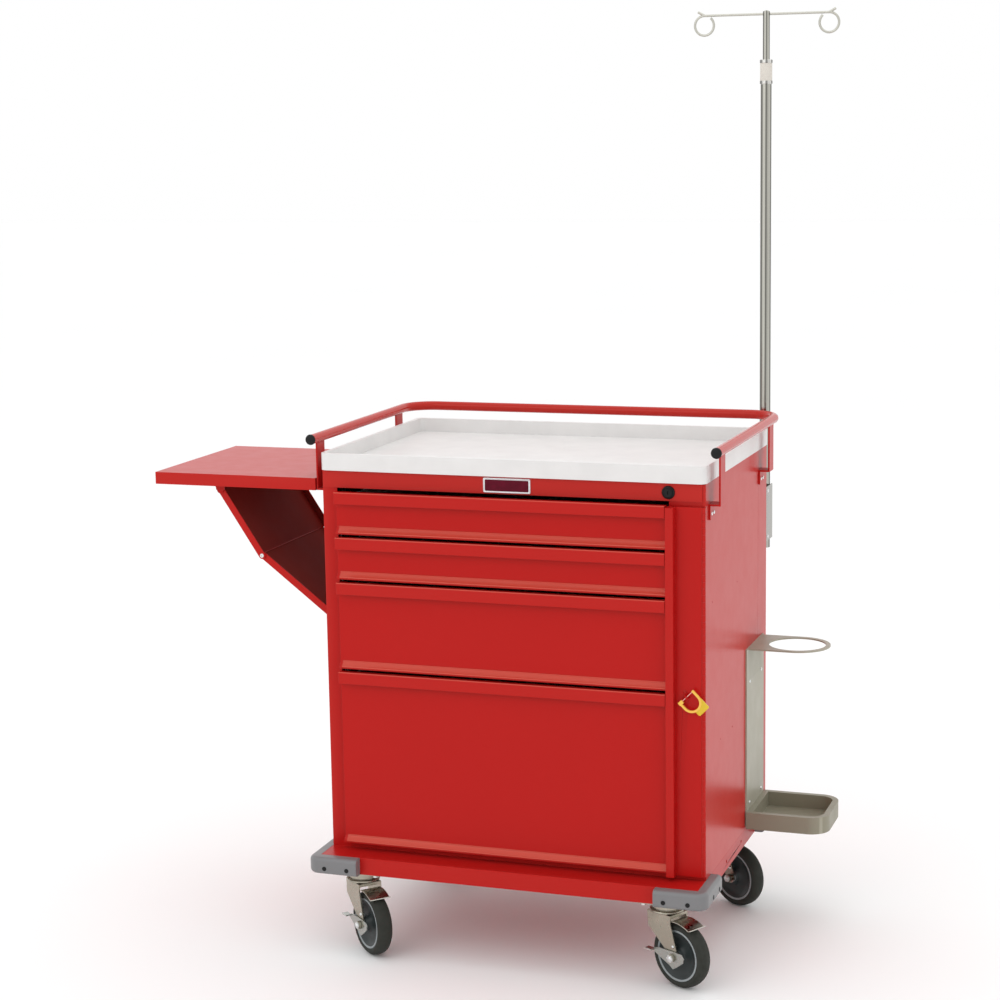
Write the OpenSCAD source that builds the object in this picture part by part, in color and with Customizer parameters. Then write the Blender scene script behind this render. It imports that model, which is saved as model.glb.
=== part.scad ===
// Crash cart: wheeled steel cabinet with four drawers, breakaway locking flap, recessed work tray
// with guard rail, folding side shelf, telescopic drip pole and oxygen cylinder holder.
// Millimetres, Z up, drawers face -Y, floor at Z = 0.

/* [Cabinet] */
// Width over the side panels
cabinet_w = 762; // [600:1:900]
// Depth from the front frame to the back panel
cabinet_d = 515; // [400:1:650]
// Height of the cabinet body above the base
cabinet_h = 757; // [600:1:1000]
// Height of the base top above the floor
base_top = 199; // [170:1:260]
// Depth of the base skirt
skirt_h = 34; // [20:1:60]
// How far the base reaches in front of the front frame
base_front = 62; // [40:1:90]
// Sheet steel thickness
sheet = 1.5; // [1:0.1:3]
// Reach of the back panel's side returns
back_return = 77; // [40:1:120]

/* [Drawers] */
// Height step of one shallow drawer
drawer_pitch = 88.9; // [60:0.1:120]
// Height of the deep drawer front
deep_front_h = 347.6; // [200:0.1:400]
// Gap between neighbouring drawer fronts
front_gap = 6; // [3:0.5:12]
// Height of the first drawer's top edge above the base
drawer_top = 717; // [600:1:900]
// How far the handle bands stand in front of the frame
front_proud = 25; // [15:1:35]
// Height of the handle band
band_h = 23; // [15:1:35]
// Depth of a drawer box behind its front
box_depth = 480; // [300:5:500]

/* [Flap] */
// Width of the locking flap's raised bar
bar_w = 15.2; // [10:0.1:25]
// Length of one pair of hinge knuckles along the flap
knuckle_pitch = 50.4; // [20:0.1:80]
// Size of the yellow break seal
seal_size = 44; // [30:1:60]

/* [Top] */
// Height of the white tray rim
tray_h = 33; // [20:1:60]
// Wall thickness of the tray rim
tray_wall = 9; // [4:0.5:15]
// Height of the rail centre above the cabinet top
rail_above = 58; // [40:1:100]
// Outside diameter of the guard rail tube
rail_d = 19; // [15:0.5:30]
// Bend radius of the rail's rear corners
rail_bend = 60; // [30:1:100]

/* [Side shelf] */
// Length of the shelf away from the cabinet
shelf_l = 348; // [200:1:450]
// Width of the shelf along the cabinet side
shelf_w = 370; // [200:1:450]
// Height of the shelf rim
shelf_h = 24; // [15:1:40]

/* [Drip pole] */
// Outer tube diameter
pole_d = 22; // [18:0.5:30]
// Height of the outer tube's top above the floor
pole_top = 1680; // [1400:1:1900]
// Sliding rod diameter
rod_d = 14; // [8:0.5:18]
// Distance from the rod to a hook loop centre
hook_reach = 127; // [80:1:160]
// Hook loop radius at the wire centre
loop_r = 19.5; // [12:0.5:30]

/* [Oxygen holder] */
// Opening of the cylinder ring
ring_bore = 114; // [100:1:180]
// Height of the ring above the base top
ring_z = 370; // [250:1:500]

/* [Casters] */
// Wheel diameter
wheel_d = 127; // [75:1:160]
// Tread width
tread_w = 32; // [20:1:45]
// Offset of the axle from the swivel axis
trail = 38; // [20:1:50]

/* [Hidden] */
$fn = 48;
e = 0.02;
half_w = cabinet_w/2;
cab_top = base_top + cabinet_h;
base_z = base_top - skirt_h;
base_back = cabinet_d + 2;
// centring of the whole cart over the origin
left_end = half_w + 24 + shelf_l;
cup_reach = 166;
right_end = half_w + cup_reach;
centre_x = (left_end - right_end)/2;
front_end = 94.8;
pole_y = cabinet_d + 48;
collar_r = 13;
back_end = pole_y + collar_r;
centre_y = (front_end - back_end)/2;

// small holes through the side panels
left_holes = [[213, 243, 2], [116, 244, 2]];
right_holes = [[213, 243, 2], [116, 244, 1.5], [252, 524, 1.5], [50.5, 526, 1.5]];

// corner bumpers
bump_reach = 21;
bump_h = skirt_h;
bump_front_leg = 82;
bump_side_leg = 102;
bump_r = 8;
plug_z = 12;
plug_hole = 4.5;
front_plugs = [-15, -62];
side_plugs = [35, 83];

// drawer opening and slides
open_l = -351.5;
open_r = 311.5;
front_l = -349;
front_r = 309;
slide_t = 12.7;
box_l = open_l + 1.5 + slide_t;
box_r = open_r - 1.5 - slide_t;
face_y = -12;
hem_y = -8.5;
top_z = base_top + drawer_top;
drawer_z = [top_z, top_z - drawer_pitch, top_z - 2*drawer_pitch, top_z - 4*drawer_pitch];
front_h = [drawer_pitch - front_gap, drawer_pitch - front_gap, 2*drawer_pitch - front_gap, deep_front_h];
box_drop = 12;
box_lift = 8;
slide_h = 44;
slide_len = 480;
slide_y = 6;

// flap hinge
flap_z = base_top + 8;
flap_h = 706;
hinge_x = half_w - 2.5;
hinge_y = -4.7;
flap_l = open_r - 1.2;
flap_r = hinge_x - 4;
knuckle_r = 3.5;
pin_r = 1.5;
knuckle_n = 7;

// lock
lock_x = 311;
lock_z = base_top + 739;
plug_r = 8.5;

// seal
seal_x = 348.5;
seal_z = base_top + 358;
seal_y = -19;
seal_tilt = 45;

// tray and rail
tray_x = half_w + 2;
tray_front = -9;
tray_back = 525;
tray_floor = 5;
rail_x = half_w + 21;
rail_front = -5;
rail_back = 540;
rail_z = cab_top + rail_above;
rail_r = rail_d/2;
bracket_ys = [22, 440];
bracket_w = 36;
bracket_t = 3.5;

// shelf and brace
shelf_right = -half_w - 24;
shelf_front = 18;
shelf_z = base_top + 712;
fold_x = -half_w - 19;
fold_z = shelf_z - 3;
fold_r = 5;
up_x = -622;
up_z = fold_z - 8;
wall_x = -half_w - 10;
wall_z = up_z - 243;
knee_x = -536.9;
knee_z = up_z - 130.1;
up_len = norm([knee_x - up_x, knee_z - up_z]);
low_len = norm([knee_x - wall_x, knee_z - wall_z]);
up_ang = atan2(knee_z - up_z, knee_x - up_x);
low_ang = atan2(knee_z - wall_z, knee_x - wall_x);
brace_front = 44;
brace_back = 376;
upper_web = 10.5;
upper_stop = 80;
lower_stop = 66;
brace_pin = 2.5;
hinge_spots = [90, 280];

// drip pole
pole_x = half_w - 14;
pole_r = pole_d/2;
tube_bore = 9.5;
rod_r = rod_d/2;
rod_top = pole_top + 143;
hook_z = pole_top + 138;
wire_r = 2.5;
mount_z = base_top + 555;
mount_h = 113;

// oxygen holder
cyl_y = 405;
cyl_x = half_w + 89;
ring_rim = 9;
plate_t = 3;
strip_w = 155;
cup_h = 34;
cup_w = 166;
cup_r = 40;
cup_wall = 12;

// casters
plate_z = base_z - 3;
swivel_x = 310;
swivel_front = -20;
swivel_back = 450;
caster_xy = [
  [-swivel_x, swivel_front], [swivel_x, swivel_front], [-swivel_x, swivel_back], [swivel_x, swivel_back]
];
caster_ang = [-42, -28, -38, -30];
wheel_r = wheel_d/2;
axle_r = 5;
king_r = 6;
hub_r = 49;
leg_in = 21.5;
leg_t = 3;

// ---------- helpers ----------
module place() {
  translate([centre_x, centre_y, 0]) children();
}

// box between two corners
module span(a, b) {
  translate(a) cube([b[0] - a[0], b[1] - a[1], b[2] - a[2]]);
}

// cylinder along X, Y or Z starting at p
module rod_along_x(p, r, l) {
  translate(p) rotate([0, 90, 0]) cylinder(r = r, h = l);
}

module rod_along_y(p, r, l) {
  translate(p) rotate([-90, 0, 0]) cylinder(r = r, h = l);
}

// outline in the XZ plane given thickness t toward +Y from y
module plate_xz(y, t) {
  translate([0, y + t, 0]) rotate([90, 0, 0]) linear_extrude(t) children();
}

// outline in the YZ plane swept along X from x
module sweep_x(x, l) {
  translate([x, 0, 0]) rotate([90, 0, 90]) linear_extrude(l) children();
}

module both_sides() {
  children();
  mirror([1, 0, 0]) children();
}

module rounded_box(x0, x1, y0, y1, z0, h, r) {
  translate([0, 0, z0]) linear_extrude(h) {
    translate([x0 + r, y0]) square([x1 - x0 - 2*r, y1 - y0]);
    translate([x0, y0 + r]) square([x1 - x0, y1 - y0 - 2*r]);
    for (x = [x0 + r, x1 - r], y = [y0 + r, y1 - r]) translate([x, y]) circle(r);
  }
}

// ---------- cabinet body ----------
module base_frame() {
  color("firebrick") place() {
    difference() {
      span([-half_w, -base_front, base_z], [half_w, base_back, base_top]);
      span([-half_w + 2, 2 - base_front, base_z - 1], [half_w - 2, base_back - 2, base_top - 2]);
      for (y = [165, 292]) rod_along_x([-half_w - 1, y, base_top - 16], 3, cabinet_w + 2);
    }
    // reinforcing rails the caster plates bolt to
    for (p = caster_xy)
      span([p[0] - 60, p[1] - 40, base_z + 3], [p[0] + 60, p[1] + 40, base_z + 6]);
    for (y = [swivel_front, swivel_back])
      span([-half_w + 1, y - 40, base_z + 3], [half_w - 1, y - 36, base_top - 1]);
    for (y = [swivel_front, swivel_back])
      span([-half_w + 1, y + 36, base_z + 3], [half_w - 1, y + 40, base_top - 1]);
  }
}

// D-section of a bumper leg: back face at 0, nose at bump_reach
module bumper_section() {
  square([bump_reach - bump_r, bump_h]);
  translate([0, bump_r]) square([bump_reach, bump_h - 2*bump_r]);
  for (z = [bump_r, bump_h - bump_r]) translate([bump_reach - bump_r, z]) circle(bump_r);
}

// L-shaped corner bumper for the right front corner at the origin
module bumper() {
  difference() {
    union() {
      rotate([90, 0, -90]) linear_extrude(bump_front_leg) bumper_section();
      rotate([90, 0, 0]) mirror([0, 0, 1]) linear_extrude(bump_side_leg) bumper_section();
      rotate([0, 0, -90]) rotate_extrude(angle = 90) bumper_section();
    }
    for (l = front_plugs) rod_along_y([l, -bump_reach - 1, plug_z], plug_hole, 7);
    for (l = side_plugs) rod_along_x([bump_reach - 6, l, plug_z], plug_hole, 7);
  }
}

module bumper_plug_set() {
  for (l = front_plugs) rod_along_y([l, -bump_reach - 0.5, plug_z], plug_hole - 0.1, 6);
  for (l = side_plugs) rod_along_x([bump_reach - 5.5, l, plug_z], plug_hole - 0.1, 6);
}

module at_corners() {
  translate([half_w, -base_front, base_z]) children();
  translate([-half_w, -base_front, base_z]) mirror([1, 0, 0]) children();
  translate([half_w, base_back, base_z]) mirror([0, 1, 0]) children();
  translate([-half_w, base_back, base_z]) mirror([1, 0, 0]) mirror([0, 1, 0]) children();
}

module corner_bumpers() {
  color("dimgray") place() at_corners() bumper();
}

module bumper_plugs() {
  color("black") place() at_corners() bumper_plug_set();
}

// right-hand panel; holes are [depth, height, radius]
module side_panel(holes) {
  seam = cabinet_d - back_return;
  difference() {
    union() {
      span([half_w - sheet, 0, base_top], [half_w, seam, cab_top]);
      // folded lips inside the top and rear edges
      span([half_w - 14, 3, cab_top - 4], [half_w - sheet + e, seam, cab_top - 2.5]);
      span([half_w - 14, seam - 3, base_top], [half_w - sheet + e, seam - sheet, cab_top - 3]);
    }
    for (h = holes) rod_along_x([half_w - 4, h[0], base_top + h[1]], h[2], 6);
  }
}

module side_panel_left() {
  color("firebrick") place() mirror([1, 0, 0]) side_panel(left_holes);
}

module side_panel_right() {
  color("firebrick") place() side_panel(right_holes);
}

module back_panel() {
  seam = cabinet_d - back_return + 0.8;
  color("firebrick") place() {
    span([-half_w, cabinet_d - sheet, base_top], [half_w, cabinet_d, cab_top]);
    both_sides() {
      span([half_w - sheet, seam, base_top], [half_w, cabinet_d, cab_top]);
      span([half_w - 12, seam, base_top], [half_w - sheet + e, seam + sheet, cab_top - 3]);
    }
  }
}

module front_frame() {
  color("firebrick") place() {
    difference() {
      union() {
        // left and right stiles, top and bottom rails
        span([-half_w + sheet, 0, base_top], [open_l, sheet, cab_top - 2]);
        span([open_r, 0, base_top], [half_w - sheet, sheet, cab_top - 2]);
        span([open_l - 10, -2, top_z + 6], [half_w - 6, sheet, cab_top - 1]);
        span([-half_w + 2, -2, top_z + 6], [open_l - 9, sheet, cab_top - 1]);
        span([open_l - 1, 0, base_top], [open_r + 1, 8, base_top + 9]);
        // folded returns stiffening the stiles
        span([open_l - sheet, 0, base_top], [open_l, 4, top_z + 8]);
        span([open_r, 0, base_top], [open_r + sheet, 4, top_z + 8]);
      }
      rod_along_y([lock_x, -4, lock_z], 10.6, 12);
    }
  }
}

module slide_uprights() {
  color("silver") place() {
    for (y = [12, 442]) {
      difference() {
        span([-half_w + sheet, y, base_top], [open_l + 1.5, y + 30, top_z]);
        span([-half_w + 3, y + 2, base_top - 1], [open_l - 0.5, y + 31, top_z + 1]);
      }
      difference() {
        span([open_r - 1.5, y, base_top], [half_w - sheet, y + 30, top_z]);
        span([open_r + 0.5, y + 2, base_top - 1], [half_w - 3, y + 31, top_z + 1]);
      }
    }
  }
}

module top_deck() {
  color("firebrick") place() {
    span([-half_w + sheet, sheet, cab_top - 2], [half_w - sheet, cabinet_d - sheet, cab_top]);
  }
}

module work_tray() {
  color("white") place() difference() {
    rounded_box(-tray_x, tray_x, tray_front, tray_back, cab_top, tray_h, 14);
    rounded_box(-tray_x + tray_wall, tray_x - tray_wall, tray_front + tray_wall, tray_back - tray_wall,
      cab_top + tray_floor, tray_h, 10);
  }
}

// ---------- guard rail ----------
module rail_path(r) {
  straight = rail_back - rail_bend - rail_front;
  both_sides() {
    rod_along_y([rail_x, rail_front, rail_z], r, straight);
    translate([rail_x - rail_bend, rail_back - rail_bend, rail_z])
      rotate_extrude(angle = 90) translate([rail_bend, 0]) circle(r);
  }
  rod_along_x([-rail_x + rail_bend, rail_back, rail_z], r, 2*(rail_x - rail_bend));
}

module guard_rail() {
  color("firebrick") place() difference() {
    rail_path(rail_r);
    both_sides() rod_along_y([rail_x, rail_front - 1, rail_z], 8, 60);
  }
}

module rail_end_caps() {
  color("black") place() both_sides() {
    rod_along_y([rail_x, rail_front - 4, rail_z], rail_r + 0.9, 4);
    rod_along_y([rail_x, rail_front - 1, rail_z], 7.9, 19);
  }
}

module rail_bracket(y) {
  jog_z = cab_top - 45;
  difference() {
    union() {
      span([rail_x - 1.7, y, jog_z], [rail_x - 1.7 + bracket_t, y + bracket_w, rail_z - 6]);
      span([half_w, y, jog_z], [rail_x, y + bracket_w, jog_z + bracket_t]);
      span([half_w, y, jog_z - 26], [half_w + bracket_t, y + bracket_w, jog_z + bracket_t]);
    }
    rod_along_y([rail_x, y - 1, rail_z], rail_r, bracket_w + 2);
  }
}

module rail_brackets() {
  color("firebrick") place() both_sides() for (y = bracket_ys) rail_bracket(y);
}

module pan_head(p) {
  rod_along_x(p, 3.6, 1.8);
}

module panel_screws() {
  color("silver") place() {
    both_sides() for (y = bracket_ys, d = [10, 26])
      pan_head([half_w + bracket_t, y + d, cab_top - 60]);
    for (d = [-52, 52], z = [48, 300]) pan_head([half_w + plate_t, cyl_y + d, base_top + z]);
    for (z = [9, mount_h - 9]) pan_head([half_w, cabinet_d + 14, mount_z + z]);
    for (x = [-36, -48], z = [20, mount_h - 20])
      rod_along_y([half_w + x, cabinet_d + 2.5, mount_z + z], 3.6, 1.8);
  }
}

module name_plate() {
  color("gainsboro") place() {
    span([-50, -4.5, base_top + 725], [44, -2, base_top + 754]);
    for (z = [726.5, 752.5]) rod_along_x([-49, -4.5, base_top + z], 1.3, 92);
  }
}

module lock_bezel() {
  color("black") place() difference() {
    union() {
      rod_along_y([lock_x, -6, lock_z], 12.5, 4);
      rod_along_y([lock_x, -3, lock_z], 10.5, 17);
    }
    rod_along_y([lock_x, -7, lock_z], plug_r + 0.08, 24);
  }
}

module lock_plug() {
  color("dimgray") place() {
    difference() {
      rod_along_y([lock_x, -6.8, lock_z], plug_r, 22);
      span([lock_x - 0.7, -7.5, lock_z - 3.5], [lock_x + 0.7, -4, lock_z + 3.5]);
    }
    // cam that moves the inner lock bar
    span([lock_x - 5, 15, lock_z - 18], [lock_x + 5, 17.5, lock_z + 6]);
  }
}

// ---------- drawers ----------
// C-shaped slide member with its web at x0, opening toward dir
module slide_channel(x0, dir, h, lip, y, l, z) {
  a = x0;
  b = x0 + dir*1.2;
  c = x0 + dir*lip;
  span([min(a, b), y, z - h/2], [max(a, b), y + l, z + h/2]);
  for (k = [z - h/2, z + h/2 - 1.2]) span([min(a, c), y, k], [max(a, c), y + l, k + 1.2]);
}

function box_z0(i) = drawer_z[i] - front_h[i] + box_lift;
function box_h(i) = front_h[i] - box_lift - box_drop;
function slide_z(i) = box_z0(i) + min(box_h(i)/2, 90);

module slide_channels() {
  color("silver") place() for (i = [0:3]) {
    slide_channel(open_l + 1.5, 1, slide_h, 9.5, slide_y, slide_len, slide_z(i));
    slide_channel(open_r - 1.5, -1, slide_h, 9.5, slide_y, slide_len, slide_z(i));
  }
}

module slide_mid(i) {
  color("gainsboro") place() {
    slide_channel(open_l + 4.5, 1, 36, 6.3, slide_y + 4, slide_len - 8, slide_z(i));
    slide_channel(open_r - 4.5, -1, 36, 6.3, slide_y + 4, slide_len - 8, slide_z(i));
  }
}

module slide_mid_1() { slide_mid(0); }
module slide_mid_2() { slide_mid(1); }
module slide_mid_3() { slide_mid(2); }
module slide_mid_4() { slide_mid(3); }

// folded drawer front: open-ended handle band over a finger recess, flat face, bevelled bottom ledge
module front_profile(h) {
  polygon([
    [face_y + sheet, 0], [-front_proud, 0], [-front_proud, -band_h], [-front_proud + 5, -band_h],
    [-front_proud + 5, -band_h + sheet], [-front_proud + sheet, -band_h + sheet],
    [-front_proud + sheet, -sheet], [face_y, -sheet], [face_y, -h + 14], [face_y - 7, -h + 5],
    [face_y - 7, -h], [hem_y, -h], [hem_y, -h + sheet], [face_y - 7 + sheet, -h + sheet],
    [face_y - 7 + sheet, -h + 5.5], [face_y + sheet, -h + 14.5]
  ]);
}

module drawer_front(i) {
  h = front_h[i];
  color("firebrick") place() translate([0, 0, drawer_z[i]]) {
    sweep_x(front_l, front_r - front_l) front_profile(h);
    // side returns
    span([front_l, face_y, -h], [front_l + sheet, hem_y, 0]);
    span([front_r - sheet, face_y, -h], [front_r, hem_y, 0]);
  }
}

module drawer_box(i) {
  z0 = box_z0(i);
  h = box_h(i);
  y0 = face_y + sheet;
  color("lightgray") place() {
    difference() {
      span([box_l + 1.2, y0, z0], [box_r - 1.2, box_depth, z0 + h]);
      span([box_l + 2.4, y0 + 1.2, z0 + 1.2], [box_r - 2.4, box_depth - 1.2, z0 + h + 1]);
    }
    // inner slide members riveted to the box sides
    slide_channel(box_l + 1.2, -1, 26, 5.4, 2, box_depth - 2, slide_z(i));
    slide_channel(box_r - 1.2, 1, 26, 5.4, 2, box_depth - 2, slide_z(i));
  }
}

module drawer_1_front() { drawer_front(0); }
module drawer_2_front() { drawer_front(1); }
module drawer_3_front() { drawer_front(2); }
module drawer_4_front() { drawer_front(3); }
module drawer_1_box() { drawer_box(0); }
module drawer_2_box() { drawer_box(1); }
module drawer_3_box() { drawer_box(2); }
module drawer_4_box() { drawer_box(3); }

// ---------- breakaway flap ----------
module flap_panel() {
  color("firebrick") place() {
    difference() {
      union() {
        span([flap_l, -27, flap_z], [flap_l + bar_w, -27 + sheet, flap_z + flap_h]);
        span([flap_l, -27, flap_z], [flap_l + sheet, -3, flap_z + flap_h]);
        span([flap_l + bar_w - sheet, -27, flap_z], [flap_l + bar_w, -8, flap_z + flap_h]);
        span([flap_l + bar_w - sheet, -9.5, flap_z], [flap_r, -8, flap_z + flap_h]);
        for (z = [flap_z, flap_z + flap_h - sheet])
          span([flap_l, -27, z], [flap_l + bar_w, -8, z + sheet]);
      }
      rod_along_y([seal_x - 6, -12, seal_z + 8], 3, 6);
    }
    seal_eye();
  }
}

module knuckles(first, r, cy) {
  step = knuckle_pitch/2;
  for (k = [0:2*knuckle_n - 1]) if (k % 2 == first)
    translate([hinge_x, cy, flap_z + 0.3 + k*step]) cylinder(r = r, h = step - 0.6);
}

module leaf_bores() {
  translate([hinge_x, hinge_y, flap_z - 1]) cylinder(r = pin_r + 0.05, h = flap_h + 2);
}

module flap_fixed_leaf() {
  step = knuckle_pitch/2;
  color("firebrick") place() difference() {
    union() {
      span([hinge_x - 22, -1.6, flap_z], [hinge_x - 6, 0, flap_z + flap_h]);
      for (k = [0:2*knuckle_n - 1]) if (k % 2 == 0)
        span([hinge_x - 7, -1.6, flap_z + 0.3 + k*step], [hinge_x, 0, flap_z - 0.3 + (k + 1)*step]);
      knuckles(0, knuckle_r, hinge_y);
    }
    leaf_bores();
  }
}

module flap_moving_leaf() {
  step = knuckle_pitch/2;
  color("firebrick") place() difference() {
    union() {
      span([flap_l + bar_w + 4, -8, flap_z], [hinge_x - 6, -6.8, flap_z + flap_h]);
      for (k = [0:2*knuckle_n - 1]) if (k % 2 == 1)
        span([hinge_x - 7, -8, flap_z + 0.3 + k*step], [hinge_x, -6.8, flap_z - 0.3 + (k + 1)*step]);
      knuckles(1, knuckle_r, hinge_y);
    }
    leaf_bores();
  }
}

// eye welded to the flap that the seal's wire passes through
module seal_eye() {
  translate([seal_x, 0, seal_z]) rotate([0, seal_tilt, 0]) difference() {
    union() {
      span([-5, seal_y, -1], [5, -9, 1]);
      translate([0, seal_y, -1]) cylinder(r = 5, h = 2);
    }
    translate([0, seal_y, -2]) cylinder(r = 1.8, h = 4);
  }
}

// padlock seal: wire shackle on the local Z axis, frame and solid tab hanging away from it
module break_seal() {
  half = seal_size/2;
  color("gold") place() translate([seal_x, seal_y, seal_z]) rotate([0, seal_tilt, 0]) {
    translate([0, 0, -half]) cylinder(r = 0.9, h = seal_size, $fn = 24);
    for (z = [-half, half - 5]) span([-2, -2, z], [seal_size*0.72, 2, z + 5]);
    span([seal_size*0.38, -2, -half], [seal_size*0.82, 2, half - 14]);
    span([seal_size*0.62, -2, -half + 2], [seal_size*0.82, 2, half - 2]);
  }
}

module hinge_pins() {
  color("silver") place() {
    translate([hinge_x, hinge_y, flap_z + 0.5]) cylinder(r = pin_r, h = flap_h - 1);
    for (y = hinge_spots) rod_along_y([fold_x, y + 0.5, fold_z], 2, 59);
    for (y = [brace_front + 4.6, brace_back - 4.6 - 6.6]) rod_along_y([wall_x, y, wall_z], brace_pin, 6.6);
  }
}

// ---------- side shelf and folding brace ----------
module shelf_wall_brackets() {
  color("firebrick") place() {
    for (y = hinge_spots) shelf_hinge_bracket(y);
    brace_ears();
  }
}

module shelf_hinge_bracket(y) {
  difference() {
    union() {
      span([-half_w - 3, y, fold_z - 28], [-half_w, y + 60, fold_z + 20]);
      for (d = [0, 42]) {
        span([fold_x, y + d, fold_z - 2], [-half_w - 1, y + d + 18, fold_z + 2]);
        rod_along_y([fold_x, y + d, fold_z], fold_r, 18);
      }
    }
    rod_along_y([fold_x, y - 1, fold_z], 2.03, 62);
  }
}

module side_shelf() {
  z1 = shelf_z + shelf_h;
  y1 = shelf_front + shelf_w;
  x0 = shelf_right - shelf_l;
  color("firebrick") place() {
    difference() {
      span([x0, shelf_front, shelf_z], [shelf_right, y1, z1]);
      span([x0 + sheet, shelf_front + sheet, shelf_z - 1], [shelf_right - sheet, y1 - sheet, z1 - sheet]);
    }
    // knuckles on the wall hinges
    for (y = hinge_spots) difference() {
      union() {
        span([shelf_right - sheet, y + 18.5, fold_z - 2], [shelf_right, y + 41.5, shelf_z + 8]);
        span([shelf_right - sheet, y + 18.5, fold_z - 2], [fold_x, y + 41.5, fold_z + 2]);
        rod_along_y([fold_x, y + 18.5, fold_z], fold_r, 23);
      }
      rod_along_y([fold_x, y, fold_z], 2.05, 60);
    }
    // ears and stub pins carrying the upper brace link
    for (y = [brace_front - 3.5, brace_back + 1.5]) {
      span([up_x - 9, y, up_z], [up_x + 9, y + 2, z1 - 1]);
      rod_along_y([up_x, y, up_z], 7, 2);
    }
    rod_along_y([up_x, brace_front - 2, up_z], brace_pin, 6);
    rod_along_y([up_x, brace_back - 4, up_z], brace_pin, 6);
  }
}

// one channel link from its pivot at the origin, running along +X: two flanges from z0 to z1
// with a web across their upper edges
module brace_link(l, y0, y1, z0, z1, web_stop) {
  difference() {
    union() {
      for (y = [y0, y1 - 2]) {
        span([0, y, z0], [l, y + 2, 7]);
        span([8, y, z0], [l - web_stop, y + 2, z1]);
        rod_along_y([0, y, 0], 7, 2);
        rod_along_y([l, y, 0], 7, 2);
      }
      span([8, y0, z1 - sheet], [l - web_stop, y1, z1]);
    }
    rod_along_y([0, y0 - 1, 0], brace_pin + 0.05, y1 - y0 + 2);
  }
}

module brace_upper() {
  color("firebrick") place() {
    translate([up_x, 0, up_z]) rotate([0, -up_ang, 0])
      brace_link(up_len, brace_front, brace_back, -7, upper_web, upper_stop);
    // knee screws
    rod_along_y([knee_x, brace_front - 2, knee_z], 4.5, 2.1);
    rod_along_y([knee_x, brace_back - 0.1, knee_z], 4.5, 2.1);
  }
}

module brace_lower() {
  color("firebrick") place() translate([wall_x, 0, wall_z]) rotate([0, -low_ang, 0])
    brace_link(low_len, brace_front + 4.5, brace_back - 4.5, -4, 7, lower_stop);
}

// clevis ears on the cabinet side for the lower brace link
module brace_ears() {
  for (y = [brace_front + 8.5, brace_back - 11]) difference() {
    union() {
      span([wall_x, y, wall_z - 6], [-half_w, y + 2.5, wall_z + 6]);
      rod_along_y([wall_x, y, wall_z], 6, 2.5);
    }
    rod_along_y([wall_x, y - 1, wall_z], brace_pin, 5);
  }
  for (y = [brace_front + 8.5, brace_back - 26])
    span([-half_w - 1.5, y, wall_z - 16], [-half_w, y + 17.5, wall_z + 16]);
}

// ---------- drip pole ----------
module iv_bracket() {
  color("silver") place() difference() {
    union() {
      span([half_w - 56, cabinet_d, mount_z], [half_w, cabinet_d + 2.5, mount_z + mount_h]);
      span([half_w - 2.5, cabinet_d, mount_z], [half_w, cabinet_d + 58, mount_z + mount_h]);
      span([half_w - 28, cabinet_d + 2, mount_z + 4], [half_w - 2, pole_y, mount_z + mount_h - 4]);
    }
    translate([pole_x, pole_y, mount_z - 1]) cylinder(r = pole_r + 0.03, h = mount_h + 2);
  }
}

module iv_tube() {
  z0 = mount_z - 20;
  color("silver") place() translate([pole_x, pole_y, z0]) difference() {
    cylinder(r = pole_r, h = pole_top - z0);
    translate([0, 0, 4]) cylinder(r = tube_bore, h = pole_top - z0);
  }
}

module iv_collar() {
  color("gainsboro") place() translate([pole_x, pole_y, pole_top]) difference() {
    union() {
      translate([0, 0, 0.4]) cylinder(r = 12.3, h = 48);
      translate([0, 0, -20]) cylinder(r = tube_bore - 0.08, h = 21);
      for (z = [0.4, 42.4]) translate([0, 0, z]) cylinder(r = collar_r, h = 6);
    }
    translate([0, 0, -21]) cylinder(r = rod_r + 0.08, h = 80);
  }
}

module iv_rod() {
  color("silver") place() translate([pole_x, pole_y, 0]) {
    translate([0, 0, mount_z + 300]) cylinder(r = rod_r, h = rod_top - mount_z - 300);
    rod_along_x([-hook_reach, 0, hook_z], wire_r, 2*hook_reach);
    both_sides() hook();
  }
}

// open wire loop at the bar's end with a flared tip
module hook() {
  translate([hook_reach, 0, hook_z - loop_r]) rotate([90, -90, 0]) mirror([0, 1, 0])
    rotate_extrude(angle = 318) translate([loop_r, 0]) circle(wire_r, $fn = 24);
  translate([hook_reach - 1, 0, hook_z]) rotate([0, 62, 0]) cylinder(r = wire_r, h = 16, $fn = 24);
}

// ---------- oxygen cylinder holder ----------
module oxygen_bracket() {
  color("tan") place() {
    difference() {
      union() {
        span([half_w, cyl_y - strip_w/2, base_top + 6],
          [half_w + plate_t, cyl_y + strip_w/2, base_top + ring_z]);
        translate([0, 0, base_top + ring_z - plate_t]) {
          translate([cyl_x, cyl_y, 0]) cylinder(r = ring_bore/2 + ring_rim, h = plate_t, $fn = 96);
          span([half_w, cyl_y - ring_bore/2 - ring_rim, 0], [cyl_x, cyl_y + ring_bore/2 + ring_rim, plate_t]);
        }
      }
      translate([cyl_x, cyl_y, base_top + ring_z - 10]) cylinder(r = ring_bore/2, h = 20, $fn = 96);
      for (d = [-52, 52], z = [48, 300])
        rod_along_x([half_w - 1, cyl_y + d, base_top + z], 2, 6);
    }
  }
}

// block with rounded outer corners from x0 to x1, w wide about the cylinder's centre
module cup_solid(x0, x1, w, r, z0, h) {
  translate([0, cyl_y, z0]) linear_extrude(h) {
    translate([x0, -w/2]) square([x1 - x0 - r, w]);
    translate([x0, r - w/2]) square([x1 - x0, w - 2*r]);
    for (s = [-1, 1]) translate([x1 - r, s*(w/2 - r)]) circle(r);
  }
}

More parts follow.
